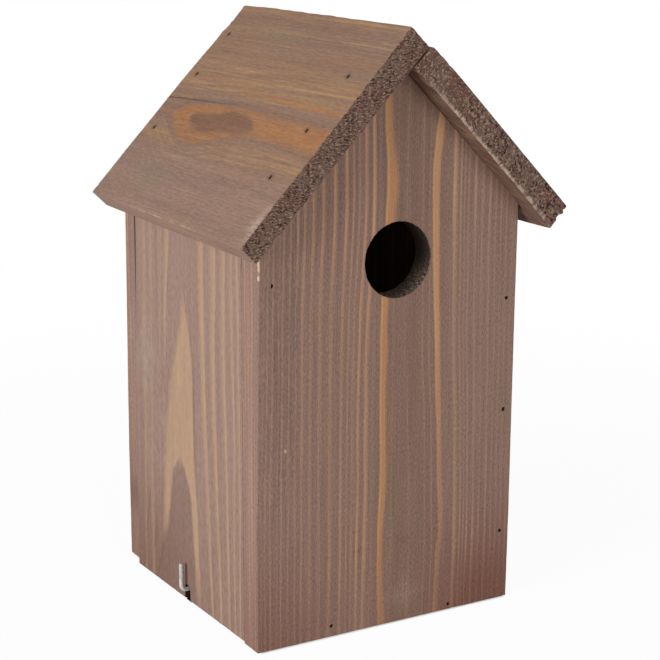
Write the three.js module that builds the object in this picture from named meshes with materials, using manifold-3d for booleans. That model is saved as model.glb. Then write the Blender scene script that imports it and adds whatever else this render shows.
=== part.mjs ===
// A wooden bird nest box: two gable boards, a fixed side, a swinging side door, a floor and two roof boards.
// Millimetres, Z up, front towards -Y. The origin is the middle of the base, on the surface it stands on.

import * as THREE from "three";
import { mergeVertices } from "three/addons/utils/BufferGeometryUtils.js";
import Module from "manifold-3d";

const wasm = await Module();
wasm.setup();

// Driving sizes of the box

const boxWidth = 125; // outside the door and the right wall
const boxDepth = 127; // front face to back face
const gableHeight = 239; // base to the tip of the gable boards
const gableShift = 2.5; // the tip is sawn this far right of the middle
const roofPitch = THREE.MathUtils.degToRad(45.7);
const boardThickness = 12; // gable boards, door, wall and floor
const roofThickness = 10.6;
const leftSlope = 101; // tip of the gable to the left eave, along the underside
const rightSlope = 99.4;
const ridgeLap = 9.6; // the left roof board runs this far past the tip
const frontOverhang = 12.5;
const backOverhang = 5;
const seatGap = 0.3; // between boards that are nailed together
const overrun = 4; // every cutter reaches this far past the wood

// Entrance and hanging holes

const entranceRadius = 16;
const entranceHeight = 159;
const entranceShift = 3.4; // right of the middle, under the tip
const hangingRadius = 4;
const hangingDrop = 34; // below the tip
const roundSides = 64;
const smallHoleSides = 24;

// Back panel and door

const backLift = 1.5; // the back panel ends above the base
const doorGap = 0.3; // beside the door, to the gable boards
const topGap = 0.9; // between the top of a side board and its panel's shoulder
const doorFrontLift = 1.2; // the door's lower edge is sawn out of square
const doorBackLift = 0.3;
const pivotDrop = 16.4; // top of the door to the pivot nails

// Latch hook

const wireRadius = 1.05;
const hookShift = 1.6; // behind the middle of the door
const hookHeightShare = 0.45; // of the floor's thickness
const hookStandOff = 3.4; // door face to the middle of the leg
const hookLeg = 12.4; // shank to the end of the leg
const hookBend = 2.4; // bend radius at the middle of the wire
const hookReach = 14; // shank length inside the floor board
const hookRoom = 0.3; // round the thread, in the floor board
const threadDepth = 0.35;
const threadPitch = 1.1;
const threadTurns = 9;
const notchRoom = 1.55; // beside the shank in the door's notch
const notchHeadroom = 1.15;
const notchOffset = 0.4; // the notch is sawn a little behind the hook
const wireSides = 12;
const wireSteps = 50;
const threadSteps = 10; // for each turn

// Nails: radii and lengths of the plain pins, the brads and the pivot nails

const nailRoom = 0.3; // between a nail and the wood
const nailSides = 12;
const pin = { shank: 0.5, head: 0.65, headHeight: 0.7, length: 30, point: 1.8, sunk: 0.8 };
const pivotNail = { shank: 0.7, head: 0.8, headHeight: 0.9, length: 32, point: 2.2, sunk: 0.9 };
const brad = {
  shank: 0.6,
  slotLength: 2.7,
  slotWidth: 1,
  headHeight: 0.8,
  length: 25,
  point: 1.8,
  sunk: 0.9,
};

// Where the nails stand, as shares of the boards that they join

const wallNailInsetShare = 0.36; // of the right wall's thickness, from its outer face
const wallNailShares = [0.178, 0.492, 0.771]; // of the right shoulder's height
const floorNailShares = {
  front: [
    { across: -0.44, up: 0.4 },
    { across: 0.505, up: 0.2 },
  ],
  back: [
    { across: -0.48, up: 0.5 },
    { across: 0.46, up: 0.45 },
  ],
};
const leftBradInsetShare = 0.375; // of the panel's thickness, from its outer face
const rightBradInsetShare = 0.625;
const leftBradShares = { front: [0.177, 0.45, 0.683], back: [0.073, 0.305, 0.612] };
const rightBradShares = { front: [0.2, 0.49, 0.76], back: [0.14, 0.42, 0.74] };

// Places that follow from the sizes

const halfWidth = boxWidth / 2;
const halfDepth = boxDepth / 2;
const leftShoulder = gableHeight - (halfWidth + gableShift) * Math.tan(roofPitch);
const rightShoulder = gableHeight - (halfWidth - gableShift) * Math.tan(roofPitch);
const wallInside = halfWidth - boardThickness;
const panelInside = halfDepth - boardThickness;
const boardMiddle = halfWidth - boardThickness / 2;
const doorTop = leftShoulder - topGap;
const hookHeight = boardThickness * hookHeightShare;
const threadRadius = wireRadius + threadDepth;

// Materials

const wood = (colour) => new THREE.MeshStandardMaterial({ color: colour, roughness: 0.85, metalness: 0 });
const frontWood = wood("#87695b");
const doorWood = wood("#a0846f");
const roofWood = wood("#937260");
const insideWood = wood("#a58a76");
const nailSteel = new THREE.MeshStandardMaterial({ color: "#3d3733", roughness: 0.6, metalness: 0.8 });
const hookZinc = new THREE.MeshStandardMaterial({ color: "#a9a6a3", roughness: 0.35, metalness: 1 });

// Solids: closed geometries are joined and cut here

function solidOf(geometry, matrix = new THREE.Matrix4()) {
  const plain = geometry.clone();
  plain.deleteAttribute("normal");
  plain.deleteAttribute("uv");
  plain.applyMatrix4(matrix);
  const merged = mergeVertices(plain);
  const vertProperties = merged.getAttribute("position").array;
  const triVerts = new Uint32Array(merged.index.array);
  return new wasm.Manifold(new wasm.Mesh({ numProp: 3, vertProperties, triVerts }));
}

function geometryOf(solid) {
  const { vertProperties, triVerts } = solid.getMesh();
  const geometry = new THREE.BufferGeometry();
  geometry.setAttribute("position", new THREE.BufferAttribute(vertProperties, 3));
  geometry.setIndex(new THREE.BufferAttribute(triVerts, 1));
  geometry.computeVertexNormals();
  return geometry;
}

const joined = (...geometries) =>
  geometryOf(geometries.map((geometry) => solidOf(geometry)).reduce((all, next) => all.add(next)));

// Takes each cutter out of a placed mesh; cutters are placed objects too
function cutOut(mesh, cutters) {
  mesh.updateWorldMatrix(true, false);
  const toMesh = mesh.matrixWorld.clone().invert();
  const rest = cutters.reduce((solid, cutter) => {
    cutter.updateWorldMatrix(true, false);
    return solid.subtract(solidOf(cutter.geometry, toMesh.clone().multiply(cutter.matrixWorld)));
  }, solidOf(mesh.geometry));
  mesh.geometry = geometryOf(rest);
}

function named(name, geometry, material) {
  const mesh = new THREE.Mesh(geometry, material);
  mesh.name = name;
  return mesh;
}

// A board drawn as an outline across the front and given its thickness towards the back
function uprightBoard(outline, thickness) {
  const shape = new THREE.Shape(outline);
  const geometry = new THREE.ExtrudeGeometry(shape, { depth: thickness, bevelEnabled: false });
  geometry.rotateX(Math.PI / 2);
  geometry.translate(0, thickness, 0);
  return geometry;
}

function boxBetween(low, high) {
  const size = new THREE.Vector3().subVectors(high, low);
  const geometry = new THREE.BoxGeometry(size.x, size.y, size.z);
  const middle = new THREE.Vector3().addVectors(low, high).multiplyScalar(1 / 2);
  return geometry.translate(middle.x, middle.y, middle.z);
}

// A round bar along Z from one height to another
function roundBar(radius, bottom, top, sides) {
  const geometry = new THREE.CylinderGeometry(radius, radius, top - bottom, sides);
  geometry.rotateX(Math.PI / 2);
  return geometry.translate(0, 0, (top + bottom) / 2);
}

// Nails stand along Z with the wood's surface at zero and their points downwards.
// Each nail is an object that holds its mesh, the cutter for its hole, and its place.

function pinProfile({ shank, head, headHeight, length, point, sunk }) {
  return [
    [0, -sunk - length],
    [shank, -sunk - length + point],
    [shank, -sunk - headHeight],
    [head, -sunk - headHeight],
    [head, -sunk],
    [0, -sunk],
  ];
}

function pinHoleProfile({ shank, head, headHeight, length, sunk }) {
  return [
    [0, -sunk - length - nailRoom],
    [shank + nailRoom, -sunk - length - nailRoom],
    [shank + nailRoom, -sunk - headHeight - nailRoom],
    [head + nailRoom, -sunk - headHeight - nailRoom],
    [head + nailRoom, overrun],
    [0, overrun],
  ];
}

function turned(profile) {
  const points = profile.map(([radius, height]) => new THREE.Vector2(radius, height));
  const geometry = new THREE.LatheGeometry(points, nailSides);
  return geometry.rotateX(Math.PI / 2);
}

function bradBody({ shank, slotLength, slotWidth, headHeight, length, point, sunk }) {
  const head = boxBetween(
    new THREE.Vector3(-slotLength / 2, -slotWidth / 2, -sunk - headHeight),
    new THREE.Vector3(slotLength / 2, slotWidth / 2, -sunk),
  );
  const neck = -sunk - headHeight / 2;
  const stem = turned([
    [0, -sunk - length],
    [shank, -sunk - length + point],
    [shank, neck],
    [0, neck],
  ]);
  return joined(head, stem);
}

function bradHole({ shank, slotLength, slotWidth, headHeight, length, sunk }) {
  const slot = boxBetween(
    new THREE.Vector3(-slotLength / 2 - nailRoom, -slotWidth / 2 - nailRoom, -sunk - headHeight - nailRoom),
    new THREE.Vector3(slotLength / 2 + nailRoom, slotWidth / 2 + nailRoom, overrun),
  );
  const bore = roundBar(shank + nailRoom, -sunk - length - nailRoom, -sunk, nailSides);
  return joined(slot, bore);
}

function fastener(name, body, hole) {
  const place = new THREE.Group();
  const cutter = new THREE.Mesh(hole);
  place.add(named(name, body, nailSteel));
  return { place, cutter };
}

// Sets a nail at a point of a parent object, pointing its head along the given direction
function drive(nail, parent, point, headward) {
  nail.place.position.copy(point);
  nail.place.quaternion.setFromUnitVectors(new THREE.Vector3(0, 0, 1), headward);
  parent.add(nail.place);
  nail.place.updateWorldMatrix(true, true);
  const { position, quaternion, scale } = nail.cutter;
  nail.place.matrixWorld.decompose(position, quaternion, scale);
  return nail;
}

const newPin = (name, size) => fastener(name, turned(pinProfile(size)), turned(pinHoleProfile(size)));
const newBrad = (name) => fastener(name, bradBody(brad), bradHole(brad));

// Gable boards

function gableOutline(lift) {
  return [
    new THREE.Vector2(-halfWidth, lift),
    new THREE.Vector2(halfWidth, lift),
    new THREE.Vector2(halfWidth, rightShoulder),
    new THREE.Vector2(gableShift, gableHeight),
    new THREE.Vector2(-halfWidth, leftShoulder),
  ];
}

// A round cutter through an upright board, seen from the front at x and height
function holeCutter(radius, x, height, sides) {
  const bar = roundBar(radius, -overrun, boardThickness + overrun, sides);
  bar.rotateX(-Math.PI / 2);
  const cutter = new THREE.Mesh(bar);
  cutter.position.set(x, 0, height);
  return cutter;
}

function frontPanel() {
  const panel = named("front_panel", uprightBoard(gableOutline(0), boardThickness), frontWood);
  panel.position.y = -halfDepth;
  const entrance = holeCutter(entranceRadius, entranceShift, entranceHeight, roundSides);
  entrance.position.y = -halfDepth;
  cutOut(panel, [entrance]);
  return panel;
}

function backPanel() {
  const panel = named("back_panel", uprightBoard(gableOutline(backLift), boardThickness), frontWood);
  panel.position.y = panelInside;
  const hanging = holeCutter(hangingRadius, gableShift, gableHeight - hangingDrop, smallHoleSides);
  hanging.position.y = panelInside;
  cutOut(panel, [hanging]);
  return panel;
}

// Boards between the gable boards

function rightWall() {
  const geometry = boxBetween(
    new THREE.Vector3(wallInside, seatGap - panelInside, 0),
    new THREE.Vector3(halfWidth, panelInside - seatGap, rightShoulder - topGap),
  );
  return named("right_wall", geometry, frontWood);
}

function floorBoard() {
  const geometry = boxBetween(
    new THREE.Vector3(seatGap - wallInside, seatGap - panelInside, 0),
    new THREE.Vector3(wallInside - seatGap, panelInside - seatGap, boardThickness),
  );
  return named("floor_board", geometry, insideWood);
}

// The door's outline runs from front to back, and its thickness lies across the box
function cleaningDoor() {
  const reach = panelInside - doorGap;
  const outline = new THREE.Shape([
    new THREE.Vector2(-reach, doorFrontLift),
    new THREE.Vector2(reach, doorBackLift),
    new THREE.Vector2(reach, doorTop),
    new THREE.Vector2(-reach, doorTop),
  ]);
  const geometry = new THREE.ExtrudeGeometry(outline, { depth: boardThickness, bevelEnabled: false });
  geometry.rotateX(Math.PI / 2);
  geometry.rotateZ(Math.PI / 2);
  const door = named("cleaning_door", geometry, doorWood);
  door.position.x = -halfWidth;
  cutOut(door, [notchCutter()]);
  return door;
}

// The notch has upright sides and a round top over the hook's shank
function notchCutter() {
  const radius = wireRadius + notchRoom;
  const roundMiddle = hookHeight + wireRadius + notchHeadroom - radius;
  const outline = new THREE.Shape();
  outline.moveTo(-radius, -overrun);
  outline.lineTo(radius, -overrun);
  outline.lineTo(radius, roundMiddle);
  outline.absarc(0, roundMiddle, radius, 0, Math.PI);
  const depth = boardThickness + overrun + overrun;
  const settings = { depth, bevelEnabled: false, curveSegments: wireSides };
  const geometry = new THREE.ExtrudeGeometry(outline, settings);
  geometry.rotateX(Math.PI / 2);
  geometry.rotateZ(Math.PI / 2);
  const cutter = new THREE.Mesh(geometry);
  cutter.position.set(-halfWidth - overrun, hookShift + notchOffset, 0);
  return cutter;
}

// Each roof board lies in a group whose origin is the gable's tip and whose X runs along the slope

function slopeGroup(turn) {
  const group = new THREE.Group();
  group.position.set(gableShift, 0, gableHeight);
  group.rotation.y = turn;
  return group;
}

function roofBoard(name, slopeStart, slopeEnd) {
  const geometry = boxBetween(
    new THREE.Vector3(slopeStart, -halfDepth - frontOverhang, seatGap),
    new THREE.Vector3(slopeEnd, halfDepth + backOverhang, seatGap + roofThickness),
  );
  return named(name, geometry, roofWood);
}

// Latch hook: a bent wire whose leg stands up outside the door and whose thread sits in the floor's edge

function hookWire() {
  const legX = -hookStandOff;
  const inner = boardThickness + hookReach;
  const shank = new THREE.LineCurve3(
    new THREE.Vector3(inner, 0, 0),
    new THREE.Vector3(legX + hookBend, 0, 0),
  );
  const leg = new THREE.LineCurve3(
    new THREE.Vector3(legX, 0, hookBend),
    new THREE.Vector3(legX, 0, hookLeg),
  );
  const corner = new THREE.Vector3(legX, 0, 0);
  const path = new THREE.CurvePath();
  path.add(shank);
  path.add(new THREE.QuadraticBezierCurve3(shank.v2, corner, leg.v1));
  path.add(leg);
  const circle = new THREE.EllipseCurve(0, 0, wireRadius, wireRadius).getPoints(wireSides);
  const section = new THREE.Shape(circle.slice(0, -1));
  return new THREE.ExtrudeGeometry(section, { steps: wireSteps, bevelEnabled: false, extrudePath: path });
}

class Helix extends THREE.Curve {
  getPoint(share, target = new THREE.Vector3()) {
    const angle = share * threadTurns * 2 * Math.PI;
    const along = boardThickness + hookReach - share * threadTurns * threadPitch;
    return target.set(along, wireRadius * Math.cos(angle), wireRadius * Math.sin(angle));
  }
}

function hookThread() {
  const ridge = new THREE.Shape([
    new THREE.Vector2(-threadDepth, 0),
    new THREE.Vector2(0, -threadDepth),
    new THREE.Vector2(threadDepth, 0),
    new THREE.Vector2(0, threadDepth),
  ]);
  const steps = threadTurns * threadSteps;
  return new THREE.ExtrudeGeometry(ridge, { steps, bevelEnabled: false, extrudePath: new Helix() });
}

function latchHook() {
  const hook = named("latch_hook", joined(hookWire(), hookThread()), hookZinc);
  hook.position.set(-halfWidth, hookShift, hookHeight);
  return hook;
}

function hookBoreCutter() {
  const bar = roundBar(threadRadius + hookRoom, -overrun, hookReach + hookRoom, smallHoleSides);
  bar.rotateY(Math.PI / 2);
  const cutter = new THREE.Mesh(bar);
  cutter.position.set(-wallInside, hookShift, hookHeight);
  return cutter;
}

// Assembly

const nestBox = new THREE.Group();
const front = frontPanel();
const back = backPanel();
const wall = rightWall();
const floor = floorBoard();
const door = cleaningDoor();
nestBox.add(front, back, wall, floor, door, latchHook());

const leftRoof = slopeGroup(-roofPitch);
const rightRoof = slopeGroup(roofPitch);
nestBox.add(leftRoof, rightRoof);
const leftBoard = roofBoard("roof_left", -leftSlope, ridgeLap);
const rightBoard = roofBoard("roof_right", seatGap, rightSlope);
leftRoof.add(leftBoard);
rightRoof.add(rightBoard);

const outwards = { front: new THREE.Vector3(0, -1, 0), back: new THREE.Vector3(0, 1, 0) };
const panels = { front, back };
const faces = { front: -halfDepth, back: halfDepth };
const holes = new Map([front, back, wall, floor, door, leftBoard, rightBoard].map((board) => [board, []]));

function nailBoards(nail, ...boards) {
  boards.forEach((board) => holes.get(board).push(nail.cutter));
}

for (const side of ["front", "back"]) {
  const into = outwards[side];
  const panel = panels[side];
  const pivot = newPin(`pivot_nail_${side}`, pivotNail);
  drive(pivot, nestBox, new THREE.Vector3(-boardMiddle, faces[side], doorTop - pivotDrop), into);
  nailBoards(pivot, panel, door);

  wallNailShares.forEach((share, index) => {
    const nail = newPin(`wall_nail_${side}_${index + 1}`, pin);
    const inset = boardThickness * wallNailInsetShare;
    const point = new THREE.Vector3(halfWidth - inset, faces[side], rightShoulder * share);
    nailBoards(drive(nail, nestBox, point, into), panel, wall);
  });

  floorNailShares[side].forEach(({ across, up }, index) => {
    const nail = newPin(`floor_nail_${side}_${index + 1}`, pin);
    const point = new THREE.Vector3(halfWidth * across, faces[side], boardThickness * up);
    nailBoards(drive(nail, nestBox, point, into), panel, floor);
  });
}

// Brads go square through a roof board into the sloping edges of both gable boards
function bradRoof(roof, board, label, slope, insetShare, shares) {
  for (const side of ["front", "back"]) {
    const y = faces[side] - outwards[side].y * boardThickness * insetShare;
    shares[side].forEach((share, index) => {
      const nail = newBrad(`roof_brad_${label}_${side}_${index + 1}`);
      const point = new THREE.Vector3(slope * share, y, seatGap + roofThickness);
      nailBoards(drive(nail, roof, point, new THREE.Vector3(0, 0, 1)), board, panels[side]);
    });
  }
}

bradRoof(leftRoof, leftBoard, "left", -leftSlope, leftBradInsetShare, leftBradShares);
bradRoof(rightRoof, rightBoard, "right", rightSlope, rightBradInsetShare, rightBradShares);

cutOut(floor, [hookBoreCutter()]);
holes.forEach((cutters, board) => cutOut(board, cutters));

export default nestBox;
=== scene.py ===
"""A wooden bird nest box with a swinging side board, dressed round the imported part.

Sizes are in millimetres and become metres where a mesh is made. Each board has three directions of its
own: along the grain, across it, and through the board from its outer face.
"""

import math

import bpy
import numpy as np
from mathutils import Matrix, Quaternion, Vector, noise


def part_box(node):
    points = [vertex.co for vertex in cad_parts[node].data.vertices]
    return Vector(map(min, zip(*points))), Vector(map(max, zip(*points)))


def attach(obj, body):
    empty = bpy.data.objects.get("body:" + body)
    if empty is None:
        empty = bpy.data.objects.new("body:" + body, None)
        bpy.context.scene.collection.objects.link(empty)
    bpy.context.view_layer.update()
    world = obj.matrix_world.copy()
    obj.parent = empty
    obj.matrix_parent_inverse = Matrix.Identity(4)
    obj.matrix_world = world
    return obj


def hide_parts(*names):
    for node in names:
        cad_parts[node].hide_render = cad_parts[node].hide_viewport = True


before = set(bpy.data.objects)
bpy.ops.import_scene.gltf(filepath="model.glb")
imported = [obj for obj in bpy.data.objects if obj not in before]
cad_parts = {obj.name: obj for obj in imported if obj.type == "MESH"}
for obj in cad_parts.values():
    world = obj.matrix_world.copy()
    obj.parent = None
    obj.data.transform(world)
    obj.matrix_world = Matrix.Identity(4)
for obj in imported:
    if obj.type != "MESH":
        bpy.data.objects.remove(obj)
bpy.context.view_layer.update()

millimetre = 0.001

# Sizes of the box

half_width = 62.5
half_depth = 63.5
gable_height = 239.0
gable_shift = 2.5
roof_pitch = math.radians(45.7)
board_thickness = 12.0
roof_thickness = 10.6
left_slope = 101.0
right_slope = 99.4
ridge_lap = 9.6
front_overhang = 12.5
back_overhang = 5.0
seat_gap = 0.3
back_lift = 1.5
top_gap = 0.9
door_front_lift = 0.7
door_back_lift = 0.3
entrance_radius = 16.0
entrance_height = 159.0
entrance_shift = 3.4
hanging_radius = 4.0
hanging_height = 205.0
notch_radius = 2.6
notch_middle = 5.0
notch_shift = 0.8
notch_points = 17

# Wear, and the small ways in which the boards are out of true

arris_wear = 0.3
least_wear = 0.05
end_tear = 0.32
chip_height = 161.0
front_excess = [(0.0, 0.0), (40.0, 0.3), (130.0, 0.35), (170.0, 0.6)]
front_bow = [(55.0, 0.0), (100.0, 1.45), (125.0, 1.9), (165.0, 2.6)]
bow_breadth = 22.0
back_taper = 0.95
door_warp = 1.7
door_back_play = [(90.0, 0.0), (120.0, 0.2), (145.0, 0.55), (165.0, 0.8)]
eave_loss = 0.9
ridge_gain = 1.2
right_gain = 0.5
ridge_dip = [
    (0.3, 1.1), (1.5, 0.65), (3.5, 0.45), (5.6, 0.55), (7.6, 0.2), (9.6, 0.2), (11.6, 0.4), (13.5, 0.15),
    (16.0, 0.05), (20.0, 0.0),
]
right_hang = [(0.0, 1.1), (30.0, 0.5), (75.0, 0.5), (right_slope, 1.1)]
ridge_share = [(-68.5, 0.2), (-60.0, 0.3), (-52.0, 0.75), (-35.0, 1.0)]
back_loss = [(-71.0, 0.0), (-59.0, 0.4), (-35.0, 0.45), (-23.0, 0.9), (-11.0, 1.7), (-6.0, 1.1), (9.6, 0.5)]
eave_steps = [
    (0.0, 0.9), (1.2, 0.8), (1.9, 1.4), (2.3, 1.4), (2.7, 0.2), (3.6, 0.3), (4.6, 1.5), (6.0, 1.6),
    (6.6, 0.6), (7.6, 0.6), (8.6, 0.7), (10.6, 0.5),
]

# Holes

cut_past = 3.0
pivot_height = 155.1
pivot_bore = 24.0
pivot_room = 1.0
mouth_room = 2.0
head_room = 0.4
nail_radii = (0.78, 0.85)
pivot_radii = (0.85, 1.0)
brad_radii = (0.6, 1.1)

# The skin of a hole: how many sides, how many rings and how ragged

entrance_skin = (180, 24, 0.018)
hanging_skin = (48, 16, 0.03)
nail_skin = (18, 8, 0.35)
pivot_skin = (20, 1, 0.0)
hook_skin = (24, 1, 0.0)

# Places worked out from the sizes

left_shoulder = gable_height - (half_width + gable_shift) * math.tan(roof_pitch)
right_shoulder = gable_height - (half_width - gable_shift) * math.tan(roof_pitch)
panel_inside = half_depth - board_thickness
wall_inside = half_width - board_thickness
wall_clear = (half_width - gable_shift) / math.cos(roof_pitch) + 1.5
roof_front = half_depth + front_overhang
roof_back = -half_depth - back_overhang

# Latch hook

wire_radius = 1.05
hook_shift = 1.6
hook_height = 5.4
hook_stand_off = 3.4
hook_leg = 12.4
hook_bend = 2.4
hook_reach = 14.0
hook_room = 0.3
shank_end = board_thickness + hook_reach
wire_sides = 28
wire_step = 0.22
leg_step = 1.0
bend_points = 14
tip_length = 0.35
tip_share = 0.72
thread_depth = 0.3
thread_pitch = 1.1
thread_length = 10.0
point_length = 2.4
point_share = 0.25


# Boards: where each lies, and how its own directions run


class Board:
    """The place of a board: a point on its outer face and its three directions."""

    def __init__(self, origin, along, across, through):
        self.origin = np.array(origin, float)
        self.axes = np.array([along, across, through], float)

    def placed(self, points):
        """Points in the board's own directions, as points of the box."""
        return self.origin + np.asarray(points, float) @ self.axes

    def local(self, points):
        """Points of the box in the board's own directions."""
        return (np.asarray(points, float) - self.origin) @ self.axes.T

    def mirrored(self):
        return np.linalg.det(self.axes) < 0


def slope(turn):
    """The outward and the downward direction of a roof slope; turn is 1 on the right, -1 on the left."""
    out = np.array([turn * math.sin(roof_pitch), 0, math.cos(roof_pitch)])
    down = np.array([turn * math.cos(roof_pitch), 0, -math.sin(roof_pitch)])
    return out, down


def roof_place(turn, across):
    out, down = slope(turn)
    tip = np.array([gable_shift, 0, gable_height])
    return Board(tip + out * (seat_gap + roof_thickness), (0, -1, 0), down * across, -out)


boards = {
    "front_panel": Board((0, -half_depth, 0), (0, 0, 1), (1, 0, 0), (0, 1, 0)),
    "back_panel": Board((0, half_depth, 0), (0, 0, 1), (1, 0, 0), (0, -1, 0)),
    "right_wall": Board((half_width, 0, 0), (0, 0, 1), (0, 1, 0), (-1, 0, 0)),
    "cleaning_door": Board((-half_width, 0, 0), (0, 0, 1), (0, -1, 0), (1, 0, 0)),
    "floor_board": Board((0, 0, board_thickness), (1, 0, 0), (0, 1, 0), (0, 0, -1)),
    "roof_left": roof_place(-1, -1),
    "roof_right": roof_place(1, 1),
}


# Shader maths


def shade(code):
    """A linear colour from a hexadecimal one."""
    channels = [int(code[place:place + 2], 16) / 255 for place in (1, 3, 5)]
    return (*[c / 12.92 if c <= 0.04045 else ((c + 0.055) / 1.055) ** 2.4 for c in channels], 1.0)


class Value:
    """A socket that can be used in sums, or as a colour."""

    def __init__(self, nodes, socket):
        self.nodes = nodes
        self.socket = socket

    def maths(self, operation, *values):
        return self.nodes.node("ShaderNodeMath", {"operation": operation}, dict(enumerate(values)))

    def __add__(self, other):
        return self.maths("ADD", self, other)

    def __radd__(self, other):
        return self.maths("ADD", other, self)

    def __sub__(self, other):
        return self.maths("SUBTRACT", self, other)

    def __rsub__(self, other):
        return self.maths("SUBTRACT", other, self)

    def __mul__(self, other):
        return self.maths("MULTIPLY", self, other)

    def __rmul__(self, other):
        return self.maths("MULTIPLY", other, self)

    def __truediv__(self, other):
        return self.maths("DIVIDE", self, other)

    def __abs__(self):
        return self.maths("ABSOLUTE", self)

    def most(self, other):
        return self.maths("MAXIMUM", self, other)

    def least(self, other):
        return self.maths("MINIMUM", self, other)

    def rise(self, low, high):
        """0 up to low, 1 from high, and smooth between them."""
        sockets = {0: self, 1: low, 2: high}
        return self.nodes.node("ShaderNodeMapRange", {"interpolation_type": "SMOOTHSTEP"}, sockets)

    def between(self, low, high, soft):
        """1 from low to high, with soft ends."""
        return self.rise(low - soft, low + soft) * (1 - self.rise(high - soft, high + soft))

    def strip(self, left, right, left_soft, right_soft):
        """1 between two courses, with a softness for each edge."""
        past_left = (self - left).rise(left_soft * -1, left_soft)
        return past_left * (right - self).rise(right_soft * -1, right_soft)

    def ramp(self, low, high, stops, interpolation="LINEAR"):
        """Runs through pairs of place and level; every place is from low to high."""
        shares = [((place - low) / (high - low), level) for place, level in stops]
        settings = {"stops": shares, "interpolation": interpolation}
        return self.nodes.node("ShaderNodeValToRGB", settings, {0: (self - low) / (high - low)})

    def course(self, places):
        """A smooth line through pairs of place and value."""
        values = [value for _, value in places]
        low, span = min(values), max(values) - min(values)
        stops = [(place, (value - low) / span) for place, value in places]
        return self.ramp(places[0][0], places[-1][0], stops, "CARDINAL") * span + low

    def toned(self, strength):
        """This colour made darker or lighter by a number about 1."""
        return self.nodes.node("ShaderNodeVectorMath", {"operation": "SCALE"}, {0: self, 3: strength})

    def stained(self, share, colour):
        """This colour with a share of another one over it."""
        return self.nodes.mix(share, self, colour)


class Nodes:
    """A tree of nodes, of a material or of the world."""

    def __init__(self, tree):
        self.tree = tree
        tree.nodes.clear()

    def node(self, kind, settings, sockets, output=0):
        """Makes a node: first its settings, then values or links for its sockets."""
        made = self.tree.nodes.new(kind)
        for setting, wanted in settings.items():
            if setting == "stops":
                self.set_stops(made.color_ramp, wanted)
            elif setting == "interpolation":
                made.color_ramp.interpolation = wanted
            else:
                setattr(made, setting, wanted)
        for socket, value in sockets.items():
            if isinstance(value, Value):
                self.tree.links.new(value.socket, made.inputs[socket])
            else:
                made.inputs[socket].default_value = value
        return Value(self, made.outputs[output]) if made.outputs else None

    def set_stops(self, ramp, stops):
        while len(ramp.elements) < len(stops):
            ramp.elements.new(1.0)
        for element, (place, level) in zip(ramp.elements, sorted(stops)):
            element.position = place
            element.color = (level, level, level, 1.0)

    def mix(self, share, *colours):
        """The first colour with a share of the second; a colour is a value, a code or four numbers."""
        first, second = (shade(colour) if isinstance(colour, str) else colour for colour in colours)
        return self.node("ShaderNodeMix", {"data_type": "RGBA"}, {0: share, 6: first, 7: second}, 2)

    def rays(self, *kinds):
        """1 for rays of the given kinds."""
        share = 0.0
        for kind in kinds:
            share = self.node("ShaderNodeLightPath", {}, {}, f"Is {kind} Ray").most(share)
        return share


class Finish(Nodes):
    """A material, for one board or for a piece that is no board."""

    def __init__(self, name, board_name=None):
        self.material = bpy.data.materials.new(name)
        self.material.use_nodes = True
        super().__init__(self.material.node_tree)
        coordinates = self.node("ShaderNodeTexCoord", {}, {}, "Object")
        scale = {0: coordinates, 1: (1 / millimetre,) * 3}
        self.place = self.node("ShaderNodeVectorMath", {"operation": "MULTIPLY"}, scale)
        if board_name:
            self.along, self.across, self.through = (self.run(boards[board_name], axis) for axis in range(3))

    def run(self, board, axis):
        """How far a place lies in one of the board's own directions."""
        sockets = {0: self.place, 1: tuple(board.axes[axis])}
        reach = self.node("ShaderNodeVectorMath", {"operation": "DOT_PRODUCT"}, sockets, "Value")
        return reach - float(board.origin @ board.axes[axis])

    def vector(self, x, y, z):
        return self.node("ShaderNodeCombineXYZ", {}, {0: x, 1: y, 2: z})

    def noise(self, place, size=1.0, detail=2.0, roughness=0.5):
        """Smooth noise about one half, with bumps of about the given size."""
        sockets = {"Vector": place, "Scale": 1 / size, "Detail": detail, "Roughness": roughness}
        return self.node("ShaderNodeTexNoise", {}, sockets)

    def grain(self, length, width, detail=2.0, seed=0.0, sway=0.0):
        """Noise drawn out along the grain."""
        across = (self.across + sway) / width
        return self.noise(self.vector(self.along / length + seed, across, self.through / width), 1.0, detail)

    def patch(self, middle, reach):
        """A soft spot on a face, 1 in its middle; places are across and along the board."""
        offset = abs(self.across - middle[0]) / reach[0] + abs(self.along - middle[1]) / reach[1]
        ragged = offset + (self.grain(6.0, 3.0, 2.0, 6.0) - 0.5) * 0.8
        return 1 - ragged.rise(0.1, 1.4)

    def surface(self, colour, roughness, height, depth, gloss=0.5, metal=0.0):
        """Closes the material; its relief has the given depth."""
        relief = self.node("ShaderNodeBump", {}, {"Height": height, "Distance": depth * millimetre})
        sockets = {"Base Color": colour, "Roughness": roughness, "Normal": relief}
        sockets |= {"Specular IOR Level": gloss, "Metallic": metal}
        return self.closed(self.node("ShaderNodeBsdfPrincipled", {}, sockets))

    def closed(self, shader):
        self.node("ShaderNodeOutputMaterial", {}, {0: shader})
        return self.material


line_profile = ((-0.45, 0.0), (-0.12, 1.0), (0.22, 0.85), (0.85, 0.0))
group_margins = (2.0, 3.0)


def group_ramp(across, marks, stops):
    """Runs through pairs of place and level over the breadth of a group and its margins."""
    return across.ramp(marks[0][0] - group_margins[0], marks[-1][0] + group_margins[1], stops)


def thin_lines(across, marks, zone):
    """Thin lines across a board, sharp on the left and soft on the right, at most eight of them.

    A mark is a place, a width, and a strength for each of the board's two zones.
    """
    stops = []
    for place, width, *strengths in marks:
        stops += [(place + offset * width, strengths[zone] * share) for offset, share in line_profile]
    return group_ramp(across, marks, stops)


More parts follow.
